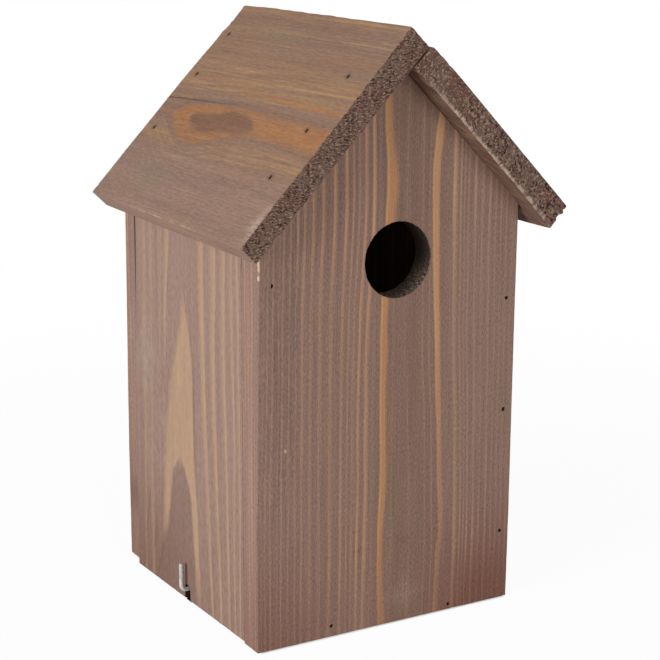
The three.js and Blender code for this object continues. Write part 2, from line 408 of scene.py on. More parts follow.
def dark_troughs(across, marks):
    """Soft dark bands, each between a line and the next."""
    stops = []
    for (place, width, *_), (after, next_width, *_) in zip(marks, marks[1:]):
        near, far = place + width * 0.7, after - next_width * 0.5
        stops += [(near, 0.0), (near * 0.7 + far * 0.3, 1.0), (far, 0.0)]
    return group_ramp(across, marks, stops)


def line_groups(across, groups, first_zone):
    """Lines and troughs of groups side by side; the number says how far a place is in the first zone."""
    lines, troughs = 0.0, 0.0
    for marks in groups:
        first, second = (thin_lines(across, marks, zone) for zone in (0, 1))
        lines = (second + (first - second) * first_zone).most(lines)
        troughs = dark_troughs(across, marks).most(troughs)
    return lines, troughs


# Stain colours, as the wood would look in plain white light


front_tones = {
    "side": "#9a7c6f", "middle": "#947667", "trough": "#83675d", "line": "#d2a886", "streak": "#c38f67",
    "sheen": "#dcb084",
}
front_marks = {
    "low": "#865e51", "olive": "#887760", "cloud": "#a68a7b", "smudge": "#6a5148", "bare": "#dcc29d",
}
door_tones = {
    "base": "#9a7f72", "line": "#b1957a", "trough": "#8b7167", "foot": "#8c7268", "low": "#7f6154",
    "warm": "#b9957a", "grey": "#a49488",
}
roof_tones = {
    "upper": "#91715e", "lower": "#9b7d6d", "tan": "#a88460", "line": "#ba966d", "amber": "#b07c50",
    "grey": "#907567", "rust": "#a26a47",
}
roof_marks = {
    "oval": "#7a5c4e", "rim": "#80695f", "crack": "#2a1f1b", "olive": "#857a66", "worn": "#cbb2a0",
    "halo": "#4f4038",
}
end_tones = {"plain": "#7f6357", "red": "#7a574c", "pore": "#2a1c17", "fibre": "#a89280", "ring": "#584239"}
bore_tones = {"painted_top_shade": "#22150f", "plain": "#4c372b", "fuzz": "#d6c1b1"}
# Painted deep shade for the inside of holes and the door's notch
hidden_tones = {"deep": "#32251f", "plain": "#4a382f"}
nail_tones = {"steel": "#3b3532", "rust": "#4f372b"}
zinc_tones = {"bright": "#cbc9c6", "dull": "#b4b1ae", "scuff": "#8d8883"}
# Redder tone of the right roof board's underside, made darker as painted shade on the face that looks down
underside_tone_and_shade = "#6b4c42"
plain_tones = (front_tones["side"], front_tones["line"])


def timber(finish, base, calm, strength=1.25, fibre=0.5, speck=(1.5, 0.5)):
    """Stained long grain: fine specks, long fibres and soft ribbons, calmer where the wood is golden."""
    stipple = finish.grain(*speck, 3.0, 3.7)
    fibres = finish.grain(30.0, 0.7, 3.0, 0.4)
    ribbons = finish.grain(120.0, 3.2, 2.0, 1.3)
    texture = (stipple - 0.5) * strength + (fibres - 0.5) * fibre
    colour = base.toned(1 + texture * (1 - calm * 0.55) + (ribbons - 0.5) * 0.2)
    return colour, fibres * 0.6 + stipple * 0.4


def sawn_edge(finish, colour, seed):
    """The narrow upright edges of a panel: a little darker than its face, with close lines of their own."""
    edge = (abs(finish.across) - half_width).rise(-0.5, 0.0)
    fine = finish.noise(finish.vector(finish.along / 300.0, seed, finish.through / 1.3), 1.0, 2.0)
    colour = colour.stained(edge * 0.35, door_tones["trough"])
    colour = colour.stained(edge * (1 - fine.rise(0.36, 0.46)) * 0.35, front_marks["low"])
    return colour.stained(edge * fine.rise(0.54, 0.66) * 0.35, door_tones["line"])


def wood(finish, colour, relief, lines):
    """Closes a long-grain finish: matt stain over the relief of its fibres and hard grain lines."""
    return finish.surface(colour, 0.74 + (relief - 0.5) * 0.3, relief + lines * 0.3, 0.1, 0.15)


# Front board: two broad golden streaks and many fine lines, all leaning a little as they come down

streak_left = [
    (0, -4.8), (12, -5.1), (28, -5.3), (44, -5.2), (52, -5.0), (60, -4.5), (80, -4.4), (100, -4.8),
    (138, -4.6), (182, -2.7), (197, -2.3), (205, -2.7), (212, -3.3), (239, -3.8),
]
streak_right = [
    (0, -1.3), (12, -1.9), (20, -2.5), (40, -2.6), (52, -1.9), (60, -1.4), (80, -1.4), (105, -1.8),
    (120, -1.2), (138, -1.2), (182, 1.9), (193, 2.9), (205, 1.2), (212, 0.6), (220, 0.0), (239, -1.2),
]
second_left = [
    (0, 23.4), (20, 24.1), (28, 24.2), (36, 25.4), (46, 25.4), (60, 24.5), (80, 23.9), (100, 22.8),
    (120, 22.2), (138, 21.2), (182, 19.9), (190, 19.7), (197, 19.9), (212, 21.4), (225, 23.0),
]
second_right = [
    (0, 25.9), (20, 26.3), (28, 27.0), (36, 27.7), (46, 27.7), (60, 26.9), (80, 26.2), (100, 25.4),
    (120, 24.7), (138, 24.0), (182, 23.0), (190, 23.0), (205, 24.0), (225, 25.6),
]
left_lean = [
    (0, -3.3), (34, -2.9), (65, -2.7), (95, -2.7), (122, -2.4), (145, -1.9), (165, -0.7), (185, 0.0),
    (239, -0.6),
]
left_share = [(-62, 0.2), (-45, 0.6), (-30, 0.75), (-21, 0.95), (-14, 1.25), (-8, 1.05), (0, 1.0)]
right_lean = [
    (0, 3.4), (34, 4.1), (65, 3.4), (95, 2.6), (122, 1.2), (145, 0.9), (180, 0.4), (205, 0.6), (239, 1.0),
]
right_share = [(27, 1.0), (41, 0.75), (48, 0.45), (62, 0.2)]
outer_left_lines = [
    (-60.2, 0.8, 0.3, 0.15), (-58.3, 0.9, 0.4, 0.21), (-55.8, 1.0, 0.25, 0.36), (-52.4, 0.8, 0.2, 0.19),
    (-50.4, 0.9, 0.3, 0.36), (-46.9, 1.0, 0.4, 0.28), (-43.4, 1.2, 0.75, 0.23), (-40.2, 1.3, 0.6, 0.41),
]
inner_left_lines = [
    (-36.3, 1.5, 0.81, 0.33), (-32.0, 1.6, 0.76, 0.36), (-26.7, 1.7, 0.9, 0.42), (-21.2, 1.5, 0.95, 0.54),
    (-17.8, 1.1, 0.71, 0.42), (-15.0, 1.1, 0.47, 0.38),
]
middle_lines = [
    (-12.0, 1.5, 0.9, 0.85), (-8.4, 1.7, 1.0, 0.75), (-5.6, 0.7, 0.12, 0.08), (2.8, 0.7, 0.08, 0.12),
    (7.2, 0.7, 0.2, 0.12), (14.6, 0.8, 0.15, 0.18), (18.0, 0.8, 0.1, 0.26),
]
inner_right_lines = [
    (30.0, 2.2, 0.72, 0.35), (33.2, 1.1, 0.41, 0.23), (35.2, 0.8, 0.23, 0.16), (37.2, 1.0, 0.27, 0.25),
    (40.8, 1.5, 0.5, 0.27),
]
outer_right_lines = [
    (44.4, 1.1, 0.32, 0.16), (48.2, 1.2, 0.41, 0.24), (51.4, 0.9, 0.23, 0.13), (54.2, 0.9, 0.23, 0.13),
    (57.0, 1.0, 0.23, 0.11), (60.0, 0.9, 0.14, 0.11),
]
splinter_width = [
    (157.0, 0.0), (158.2, 0.8), (159.2, 1.0), (160.0, 0.0), (161.0, 0.0), (162.0, 0.7), (163.0, 0.5),
    (164.4, 0.9), (170.0, 1.0),
]
front_groups = [outer_left_lines, inner_left_lines, middle_lines, inner_right_lines, outer_right_lines]

# From the hole upwards the first streak has a softer edge and the troughs are darker

streak_spread = (150, 185)

# A patch is its middle and its reach, across and along, its strength and its tone

front_patches = [
    ((2.5, 56.0), (5.0, 22.0), 0.6, "olive"), ((8.0, 12.5), (10.0, 8.0), 0.5, "cloud"),
    ((-14.0, 36.0), (4.5, 1.6), 0.35, "smudge"), ((7.5, 37.0), (6.0, 1.8), 0.25, "smudge"),
]


def front_lean(finish):
    """How far the grain lines have moved sideways at each place."""
    along, across = finish.along, finish.across
    left = along.course(left_lean) * across.course(left_share)
    right = along.course(right_lean) * across.course(right_share)
    return left + (right - left) * across.rise(-4, 14)


def front_streaks(finish, ragged):
    """How golden each place is, and the colour of the gold, palest at the left edge of each streak."""
    along = finish.along
    edges = [along.course(places) for places in (streak_left, streak_right, second_left, second_right)]
    first = ragged.strip(edges[0], edges[1], 0.7, 0.9 + along.rise(*streak_spread) * 0.8)
    second = ragged.strip(edges[2], edges[3], 0.6, 0.8) * (0.38 + 0.67 * along.rise(10, 160))
    fibrous = 0.8 + finish.grain(40.0, 1.0, 2.0, 5.5) * 0.35
    broad = (first * (0.55 + 0.45 * along.rise(0, 60))).most(second).least(fibrous)
    golden = finish.mix(finish.across.rise(10, 18) * 0.35, front_tones["streak"], front_tones["line"])
    sheen = (ragged - edges[0]).between(0.1, 0.9, 0.4).most((ragged - edges[2]).between(0.1, 0.8, 0.4))
    return broad, golden.stained(sheen * 0.45, front_tones["sheen"])


def edge_line(finish):
    """A pale line of grain on the board's narrow left edge."""
    line = 1 - abs(finish.through - 4.0 + finish.along.rise(90, 150) * 0.9).rise(0.3, 1.2)
    return line * (-half_width - finish.across).rise(-0.5, 0.0) * finish.along.rise(10, 60) * 0.3


def bared_wood(finish):
    """Where the left arris has splintered, and one small chip."""
    width = finish.along.course(splinter_width)
    splinter = (width - finish.through - front_bow[-1][1]).rise(-0.3, 0.3)
    splinter = splinter * (1 - (finish.across + half_width).rise(0.3, 0.9))
    splinter = splinter * finish.along.between(157.8, 170.0, 0.3)
    chip = finish.patch((-49.6, 85.7), (0.8, 1.0)) * 1.5
    return splinter.most(chip).least(0.85)


def front_wood():
    finish = Finish("front_wood", "front_panel")
    along, across = finish.along, finish.across
    sway = finish.grain(45.0, 12.0, 2.0, 8.0) - 0.5 + finish.through * 0.3
    lines, troughs = line_groups(across + sway - front_lean(finish), front_groups, along.rise(140, 185))
    patchy = finish.grain(28.0, 2.2, 2.0, 2.2).rise(0.32, 0.6)
    foot = 0.6 + 0.4 * along.rise(4.0, 34.0) + along.between(26.0, 46.0, 10.0) * across.rise(24, 32) * 0.8
    lines = (lines * (0.8 + patchy * 0.3) * foot).least(1.0)
    ragged = across + sway * 0.2 + (finish.grain(12.0, 2.0, 1.0, 9.1) - 0.5) * 0.3
    broad, golden = front_streaks(finish, ragged)
    colour = finish.mix(across.between(-7, 27, 5), front_tones["side"], front_tones["middle"])
    colour = colour.stained(troughs * (0.16 + along.rise(*streak_spread) * 0.24), front_tones["trough"])
    sides = 0.1 + across.rise(10, 45) * 1.1 + (1 - across.rise(-60, -10)) * 0.55
    # Darker towards the foot, most at the sides
    foot_darkening = (1 - along.rise(-10.0, 64.0)) * sides
    colour = colour.stained(foot_darkening.least(1.0), front_marks["low"])
    for middle, reach, share, mark in front_patches:
        colour = colour.stained(finish.patch(middle, reach) * share, front_marks[mark])
    pale = finish.mix(across.between(-42, -4, 10) * 0.55, front_tones["line"], front_tones["streak"])
    colour = colour.stained(lines, pale).stained(broad, golden)
    colour = sawn_edge(finish, colour, 3.0).stained(edge_line(finish), front_tones["line"])
    colour, relief = timber(finish, colour, lines.most(broad), 1.3)
    colour = colour.stained(bared_wood(finish), front_marks["bare"])
    return wood(finish, colour, relief, lines.most(broad))


# Door: a tall golden arch, with a dark arch in its foot, between long bands

arch_left = [
    (0, -27.0), (28, -25.0), (45, -22.5), (63, -21.3), (82, -18.5), (102, -14.0), (122, -6.5), (140, -3.6),
]
arch_right = [
    (0, 12.5), (22, 10.7), (43, 9.6), (63, 6.8), (82, 6.0), (102, 5.4), (115, 4.4), (128, 1.0), (140, -2.0),
]
foot_left = [(0, -32.0), (24, -22.6), (36, -18.6), (49, -16.0), (58, -13.6), (64, -8.6), (67, -6.4)]
foot_right = [(0, 8.4), (24, 6.2), (36, 4.6), (49, 3.0), (56, 0.3), (62, -3.4), (67, -6.6)]

# A band is the course of its right edge, its breadth and its strength; the upper ones show only high up

door_bands = [
    ([(0, 24.5), (22, 22.8), (43, 21.4), (82, 19.2), (122, 17.8), (172, 17.6)],
     [(0, 3.0), (60, 4.2), (172, 7.0)], 0.9),
    ([(0, 32.3), (43, 30.3), (82, 28.2), (122, 27.6), (145, 28.6), (172, 28.9)],
     [(0, 2.6), (60, 3.8), (172, 7.0)], 0.9),
    ([(0, 39.5), (43, 38.6), (82, 38.0), (122, 36.6), (172, 37.6)], [(0, 2.2), (80, 3.6), (172, 5.5)], 0.9),
    ([(0, 44.6), (43, 44.4), (82, 45.2), (145, 43.6), (172, 44.2)], [(0, 1.8), (172, 4.0)], 0.75),
    ([(0, 48.8), (82, 49.6), (172, 49.0)], [(0, 1.8), (172, 3.2)], 0.8),
    ([(0, -34.0), (90, -34.0), (172, -33.0)], [(0, 4.0), (172, 5.0)], 0.4),
    ([(0, -42.5), (60, -41.0), (172, -39.5)], [(0, 3.0), (80, 5.0), (172, 9.0)], 0.4),
]
upper_bands = [
    ([(0, -20.0), (122, -20.0), (145, -17.4), (172, -14.8)], [(0, 1.0), (110, 2.0), (172, 6.0)], 0.9),
    ([(0, -27.0), (122, -24.5), (172, -23.0)], [(0, 1.0), (110, 2.0), (172, 5.0)], 0.5),
]

# A slanting scratch is its place at the foot, its lean, and how far up it starts and ends

door_slants = [(-39.3, 0.32, 3.0, 26.0), (-31.3, 0.34, 5.0, 26.0), (-46.0, 0.2, 2.0, 40.0)]


def door_arch(finish, straight):
    """The golden arch and the dark arch in its foot."""
    along, across = finish.along, finish.across
    arch = straight.strip(along.course(arch_left), along.course(arch_right), 2.4, 0.9)
    foot = straight.strip(along.course(foot_left), along.course(foot_right), 1.4, 1.3)
    foot = foot * (1 - along.rise(58, 69))
    legs = along.rise(14, 44).most(across.rise(-4, 0)) * along.rise(-6, 22).most(1 - across.rise(-1, 2))
    return arch * (1 - along.rise(124, 146)) * (1 - foot) * legs, foot


def door_band(finish, straight, right, breadth, strength):
    """A long band, crisp at its right edge and soft at its left one."""
    reach = (finish.along.course(right) - straight) / finish.along.course(breadth)
    return reach.rise(-0.06, 0.14) * (1 - reach.rise(0.25, 1.15)) * strength


def door_wood():
    finish = Finish("door_wood", "cleaning_door")
    along, across = finish.along, finish.across
    sway = (finish.grain(30.0, 8.0, 2.0, 8.0) - 0.5) * 1.2 + finish.through * 0.35
    straight = across + sway + (finish.grain(5.0, 1.4, 1.0, 9.1) - 0.5) * 0.5
    lines, foot = door_arch(finish, straight)
    for band in door_bands:
        lines = lines.most(door_band(finish, straight, *band))
    for band in upper_bands:
        lines = lines.most(door_band(finish, straight, *band) * along.rise(88, 128))
    patchy = finish.grain(40.0, 3.0, 2.0, 2.2).rise(0.3, 0.6)
    lines = lines * (0.74 + 0.26 * patchy)
    troughs = finish.grain(150.0, 3.0, 1.0, 12.0).rise(0.5, 0.7) * (1 - lines)
    colour = finish.mix(troughs * 0.45, door_tones["base"], door_tones["trough"])
    beside = (straight - along.course(arch_right)).between(0.6, 2.2, 0.8) * along.between(62.0, 112.0, 14.0)
    colour = colour.stained((foot * 0.8).most(beside * 0.9), door_tones["foot"])
    low = (1 - along.rise(0.0, 70.0)) * (1 - across.rise(-40.0, 30.0) * 0.8)
    colour = colour.stained(low * 0.9, door_tones["low"])
    for start, lean, bottom, top in door_slants:
        slant = abs(across - along * lean - start + sway * 0.4)
        slant = (1 - slant.rise(0.3, 1.3)) * along.between(bottom, top, 3.0)
        colour = colour.stained(slant * 0.45, front_marks["smudge"])
    warm = finish.grain(30.0, 4.0, 2.0, 14.0).rise(0.35, 0.65)
    colour = colour.stained(lines, finish.mix(warm * 0.6, door_tones["line"], door_tones["warm"]))
    pale = finish.patch((-42.0, 104.0), (13.0, 22.0)).most(finish.patch((-23.0, 78.0), (4.0, 9.0)))
    colour = colour.stained(pale * 0.4, door_tones["grey"])
    colour, relief = timber(finish, colour, lines, 0.75, 0.3, (2.6, 1.3))
    return wood(finish, colour, relief, lines)


# Left roof board: an amber loop round a grey-brown oval, under streaks of tan

loop_top = [
    (-69, -51.6), (-54, -52.2), (-45, -46.8), (-32, -44.9), (-20, -43.6), (0, -42.8), (17, -43.2),
    (26, -43.8), (76, -43.4),
]
loop_bottom = [
    (-69, -52.8), (-54, -53.2), (-45, -58.0), (-32, -63.0), (-22, -64.0), (-13, -63.0), (-5, -60.5),
    (5, -57.4), (17, -54.9), (30, -54.2), (76, -54.8),
]
oval_top = [
    (-42, -54.5), (-36, -51.6), (-31, -49.3), (-20, -48.4), (-10, -46.8), (-4, -44.9), (5, -44.9),
    (11, -45.8), (17, -48.0), (21, -50.6), (28, -54.0),
]
oval_bottom = [
    (-42, -51.5), (-36, -53.2), (-31, -55.7), (-22, -58.4), (-13, -58.0), (-5, -56.1), (5, -55.5),
    (17, -53.6), (21, -51.6), (28, -49.0),
]
crack_course = [(-69, -45.6), (-58, -44.7), (-44, -43.9), (-28, -43.0), (-7, -41.6), (0, -41.3)]
upper_lines = [
    (-34.8, 2.2, 0.45, 0.3), (-30.2, 1.8, 0.2, 0.7), (-27.2, 1.6, 0.6, 0.7), (-24.4, 1.2, 0.7, 0.35),
    (-20.6, 1.8, 0.15, 0.65),
]
ridge_lines = [
    (-9.5, 1.0, 0.2, 0.3), (-3.0, 1.3, 0.85, 0.45), (-0.6, 1.0, 0.75, 0.1), (4.6, 0.8, 0.3, 0.3),
    (7.0, 1.6, 0.95, 0.3),
]
low_lines = [
    (-97.0, 1.4, 0.2, 0.35), (-70.5, 1.4, 0.2, 0.3), (-65.5, 1.6, 0.35, 0.45), (-62.5, 1.2, 0.5, 0.3),
    (-60.0, 2.0, 0.6, 0.5),
]
upper_bend = [(-69, 9.0), (-40, 7.0), (-10, 4.4), (25, 1.6), (76, 0.0)]
lower_bend = [(-69, -9.0), (-40, 4.0), (-22, 6.6), (0, 3.4), (76, 0.0)]


def roof_loop(finish, ragged):
    """The amber loop, the grey rim round it and the oval inside it."""
    along, across = finish.along, finish.across
    top, bottom = along.course(loop_top), along.course(loop_bottom)
    loop = (across - ragged).strip(bottom, top, 2.6, 2.2)
    rim = across.strip(bottom - 3.4, top + 3.4, 1.2, 1.0) * (1 - along.rise(-20, 20) * 0.85)
    top, bottom = along.course(oval_top), along.course(oval_bottom)
    oval = (across - ragged * 0.7).strip(bottom, top, 2.0, 1.5) * along.between(-37.0, 22.0, 3.5)
    return loop, rim, oval


def roof_lines(finish, sway, bend):
    """The thin lines of the board, which bend round the loop; only the lowest bend the other way."""
    along, across = finish.along, finish.across
    front_half = along.rise(8, 36)
    upper = across + sway + bend * (1 - across.rise(-30, -12))
    lower = across + sway + along.course(lower_bend)
    lines, _ = line_groups(upper, [upper_lines, ridge_lines], front_half)
    return lines.most(line_groups(lower, [low_lines], front_half)[0])


def roof_tan(finish):
    """Tan streaks in bands along the board."""
    along, across = finish.along, finish.across
    tan = finish.grain(60.0, 1.7, 3.0, 4.4).rise(0.4, 0.66)
    zones = across.between(-37.0, -18.0, 3.5) + across.between(-67.0, -58.0, 3.0) * 0.8
    zones = zones + across.between(-6.0, -1.0, 2.0) * (1 - along.rise(-10, 20)) * 0.7
    zones = zones + across.rise(5.0, 7.0) * 0.7 + across.between(-15.0, -8.0, 2.0) * 0.35
    return (zones * (0.25 + tan * 0.7)).least(1.0) * 0.8


def roof_stains(finish, colour, ragged, bend, patchy):
    """The colour with the grey rim, the amber loop and streak, and the brown oval over it."""
    loop, rim, oval = roof_loop(finish, ragged)
    streaky = finish.grain(34.0, 1.5, 3.0, 3.1)
    amber = loop * (0.76 + (streaky - 0.5) * 1.7)
    second = 1 - abs(finish.across + 35.4 - bend * 0.5 + ragged * 0.7).rise(0.3, 2.4)
    amber = amber.most(second * (0.15 + finish.along.rise(-40, 30) * 0.75) * (0.45 + patchy * 0.5))
    rusty = finish.grain(20.0, 3.0, 2.0, 16.0).rise(0.4, 0.65) * 0.6
    stain = finish.mix(rusty, roof_tones["amber"], roof_tones["rust"])
    colour = colour.stained(rim * 0.5, roof_marks["rim"]).stained(amber.most(0.0).least(0.95), stain)
    return colour.stained(oval * (0.78 + (streaky - 0.5) * 0.8), roof_marks["oval"])


def roof_crack(finish, ragged):
    """The long crack over the back half of the loop."""
    along = finish.along
    crack = abs(finish.across - along.course(crack_course) + ragged * 0.2)
    return (1 - crack.rise(0.05, 0.48)) * (1 - along.rise(-52.0, -4.0) * 0.7) * (1 - along.rise(-6.0, -1.0))


def roof_wear(finish):
    """Pale wood on the worn arris of the eave and by its front corner."""
    along, across = finish.along, finish.across
    worn = (1 - (across + left_slope).rise(0.1, 1.4)) * (1 - finish.through.rise(0.2, 1.8))
    worn = worn * along.between(-22.0, 34.0, 8.0) * finish.grain(5.0, 0.8, 2.0, 7.7).rise(0.4, 0.6)
    corner = finish.patch((-90.0, 74.0), (10.0, 6.0)) * finish.grain(3.0, 1.0, 2.0, 7.1).rise(0.3, 0.6)
    return worn.most(corner * 0.75) * 0.8


def roof_left_wood():
    finish = Finish("roof_wood", "roof_left")
    across = finish.across
    sway = (finish.grain(40.0, 9.0, 3.0, 8.0) - 0.5) * 3.0 + finish.through * 0.3
    ragged = sway * 0.4 + (finish.grain(14.0, 1.3, 3.0, 9.1) - 0.5) * 2.2
    bend = finish.along.course(upper_bend)
    patchy = finish.grain(30.0, 1.6, 3.0, 2.2).rise(0.36, 0.62)
    lines = roof_lines(finish, sway, bend) * (0.1 + patchy * 0.65)
    rosy = finish.grain(70.0, 7.0, 3.0, 15.0).rise(0.35, 0.65)
    colour = finish.mix(across.rise(-78, -62), roof_tones["lower"], roof_tones["upper"])
    colour = colour.stained(rosy * 0.7, roof_tones["grey"]).stained(roof_tan(finish), roof_tones["tan"])
    olive = finish.patch((-84.0, -29.0), (9.0, 22.0)).most(finish.patch((-4.0, -15.0), (4.0, 30.0)))
    colour = colour.stained(olive * 0.45, roof_marks["olive"]).stained(lines, roof_tones["line"])
    colour = roof_stains(finish, colour, ragged, bend, patchy)
    for name in brad_names("left"):
        head_along, head_across, _ = head_place(name, boards["roof_left"])
        halo = finish.patch((head_across, head_along), (2.2, 3.4))
        colour = colour.stained(halo * 0.55, roof_marks["halo"])
    colour, relief = timber(finish, colour, lines, 0.75, 0.55, (3.6, 0.8))
    scratches = finish.grain(18.0, 0.45, 2.0, 21.0).rise(0.62, 0.7)
    scratches = scratches * (0.2 + (1 - across.rise(-75, -60)) * 0.25)
    crack = roof_crack(finish, ragged)
    # The crack is painted near black, as the shade inside it
    colour = colour.stained(scratches, roof_marks["rim"]).stained(crack * 0.9, roof_marks["crack"])
    colour = colour.stained(roof_wear(finish), roof_marks["worn"])
    return wood(finish, colour, relief - crack, lines)


def plain_wood(name, board_name, base, gold, seed, strength=0.6, inside=None, edges=False):
    """A board with lines at natural distances; its inner face and its edges may have their own tones and
    painted shade.
    """
    finish = Finish(name, board_name)
    along, across, through = finish.along, finish.across, finish.through
    sway = (finish.grain(60.0, 16.0, 2.0, seed) - 0.5) * 7.0 + through * 0.5
    fine = finish.grain(300.0, 2.6, 1.0, seed + 1.0, sway).rise(0.52, 0.66)
    broad = finish.grain(500.0, 7.0, 1.0, seed + 2.0, sway).rise(0.6, 0.7)
    patchy = finish.grain(28.0, 2.2, 2.0, seed + 3.0).rise(0.3, 0.6)
    lines = (fine * 0.5).most(broad * 0.8) * (0.5 + patchy * 0.5) * strength
    clouds = finish.grain(60.0, 30.0, 2.0, seed + 4.0).rise(0.35, 0.65)
    colour = finish.mix(clouds * 0.5, base, front_tones["trough"])
    if inside:
        # Towards the underside the colour goes to its redder tone, partly painted shade
        colour = colour.stained(through.rise(1.0, 6.0), inside)
        slant = finish.vector((across - along * 0.7) / 1.3, (across + along) / 20.0, seed)
        saw_marks = finish.noise(slant, 1.0, 1.0).rise(0.42, 0.6) * through.rise(9.8, 10.4)
        colour = colour.stained(saw_marks * 0.4, end_tones["fibre"])
    colour = colour.stained(lines, gold)
    if edges:
        colour = colour.stained((1 - along.rise(-10.0, 70.0)) * 0.7, front_marks["low"])
        colour = sawn_edge(finish, colour, seed)
        colour = colour.stained(finish.patch((-half_width, 33.0), (2.0, 9.0)) * 0.45, front_marks["smudge"])
    colour, relief = timber(finish, colour, lines)
    if edges:
        # Painted shade along the inner edges, in the seam where the side boards meet this board
        joint_painted_shade = through.rise(board_thickness - 0.5, board_thickness - 0.1)
        joint_painted_shade = joint_painted_shade * abs(across).rise(half_width - 1.8, half_width - 0.9)
        colour = colour.stained(joint_painted_shade * 0.9, end_tones["ring"])
    return wood(finish, colour, relief, lines)


def end_grain(board_name, seed, lip):
    """Rough sawn ends: dark pores, torn light fibres, faint rings and maybe a pale inner lip, partly painted
    highlight.
    """
    finish = Finish(f"{board_name}_ends", board_name)
    across, through = finish.across, finish.through
    drawn, close = (0.64, 0.64) if lip else (0.45, 0.95)
    flat = finish.vector((across + through) * drawn, (across - through) * close, finish.along * 0.4 + seed)
    pores = finish.noise(flat, 1.15, 2.0, 0.6)
    fluff = finish.noise(flat, 0.8, 1.0, 0.6)
    rings = finish.noise(finish.vector(across / 2.4 + through / 6, through / 9, seed), 1.0)
    patches = finish.noise(finish.vector(across, through, seed), 10.0)
    depth = 0.55 + patches * 0.6
    if lip:
        depth = depth * (0.5 + across.rise(15, 60) * 0.8)
    colour = finish.mix(patches.rise(0.4, 0.6), end_tones["plain"], end_tones["red"])
    colour = colour.stained(rings.rise(0.45, 0.7) * 0.4, end_tones["ring"])
    colour = colour.stained((1 - pores.rise(0.34, 0.52)) * depth, end_tones["pore"])
    colour = colour.stained(fluff.rise(0.5, 0.68) * 0.9, end_tones["fibre"])
    # The pale lip: torn fibres along the inner arris, partly painted highlight
    if lip:
        tufts = finish.noise(finish.vector(across, 0.0, seed), 1.1, 3.0, 0.7)
        edge = (through + (tufts - 0.5) * 5.0).rise(roof_thickness - 1.2, roof_thickness - 0.4)
        edge = edge * tufts.rise(0.38, 0.5) * across.between(16.0, 92.0, 12.0)
        colour = colour.stained(edge * 0.85, roof_marks["worn"])
    return finish.surface(colour, 0.92, pores + fluff * 0.5, 0.7, 0.2)


def bore_wood():
    """The drilled holes: painted shade at the top and deep inside, with pale fuzz low down and round the
    rim.
    """
    finish = Finish("bore_wood", "front_panel")
    through = finish.through
    up, side = finish.along - entrance_height, finish.across - entrance_shift
    turn = up.maths("ARCTAN2", up, side)
    fuzz = finish.noise(finish.vector(turn * (entrance_radius / 1.1), through / 0.32, 0.0), 1.0, 3.0, 0.65)
    low = 1 - (up + through * 0.5).rise(-entrance_radius, entrance_radius * 0.3)
    rim = 1 - through.rise(0.1, 1.4)
    outer = 1 - through.rise(0.5, 8.0)
    pale = fuzz.rise(0.48, 0.62) * (0.04 + low * 0.96) * (0.7 + outer * 0.3)
    # Painted shade: darker towards the top of the hole and further in, lighter low down and by the outer
    # face.
    colour = finish.mix(low.most(outer * 0.7), bore_tones["painted_top_shade"], bore_tones["plain"])
    colour = colour.stained(pale.most(rim * 0.6 * fuzz.rise(0.4, 0.6)), bore_tones["fuzz"])
    return finish.surface(colour, 0.92, fuzz, 0.5, 0.2)


def hidden_wood():
    """Bare wood painted dark as deep shade, in the holes and the door's notch."""
    finish = Finish("hidden_wood")
    fuzz = finish.noise(finish.place, 0.8, 3.0)
    colour = finish.mix(fuzz.rise(0.35, 0.65), hidden_tones["deep"], hidden_tones["plain"])
    return finish.surface(colour, 0.95, fuzz, 0.2, 0.1)


def nail_steel():
    finish = Finish("nail_steel")
    rust = finish.noise(finish.place, 0.6, 3.0)
    colour = finish.mix(rust.rise(0.4, 0.65), nail_tones["steel"], nail_tones["rust"])
    return finish.surface(colour, 0.5 + rust * 0.3, rust, 0.05, metal=0.6)


def hook_zinc():
    finish = Finish("hook_zinc")
    scuffs = finish.noise(finish.place, 0.35, 3.0, 0.7)
    clouds = finish.noise(finish.place, 2.5)
    colour = finish.mix(clouds.rise(0.35, 0.65), zinc_tones["bright"], zinc_tones["dull"])
    colour = colour.stained(scuffs.rise(0.58, 0.75) * 0.2, zinc_tones["scuff"])
    return finish.surface(colour, 0.5 + scuffs * 0.2, scuffs, 0.02, metal=0.35)


# Meshes


def hum(points, size, seed=0.0):
    """Smooth noise from -1 to 1 at each point."""
    scaled = np.asarray(points, float) / size + seed
    return np.array([noise.noise(Vector(point)) for point in scaled])


def eased(values, low, high):
    """0 at low and 1 at high, smooth between them."""
    share = np.clip((values - low) / (high - low), 0, 1)
    return share * share * (3 - 2 * share)


def cuts(low, high, step, edge_steps=(0.0, 0.12, 0.3, 0.5, 0.75)):
    """Places for vertices from low to high: close at both edges, then a step apart."""
    inset = edge_steps[-1] + step / 2
    count = max(1, round((high - low - 2 * inset) / step))
    middle = np.linspace(low + inset, high - inset, count + 1)
    edges = np.array(edge_steps)
    return np.concatenate([low + edges, middle, high - edges[::-1]])


def shell(lines):
    """A closed box of quads on the given lines of each axis, and the axis that each quad faces."""
    index, points, quads, facing = {}, [], [], []

    def spot(where):
        if where not in index:
            index[where] = len(points)
            points.append([lines[axis][where[axis]] for axis in range(3)])
        return index[where]

    for axis in range(3):
        first, second = (axis + 1) % 3, (axis + 2) % 3
        for end in (0, len(lines[axis]) - 1):
            for i in range(len(lines[first]) - 1):
                for j in range(len(lines[second]) - 1):
                    corners = []
                    for di, dj in ((0, 0), (1, 0), (1, 1), (0, 1)):
                        where = [0, 0, 0]
                        where[axis], where[first], where[second] = end, i + di, j + dj
                        corners.append(spot(tuple(where)))
                    quads.append(corners if end else corners[::-1])
                    facing.append(axis)
    return np.array(points), quads, facing


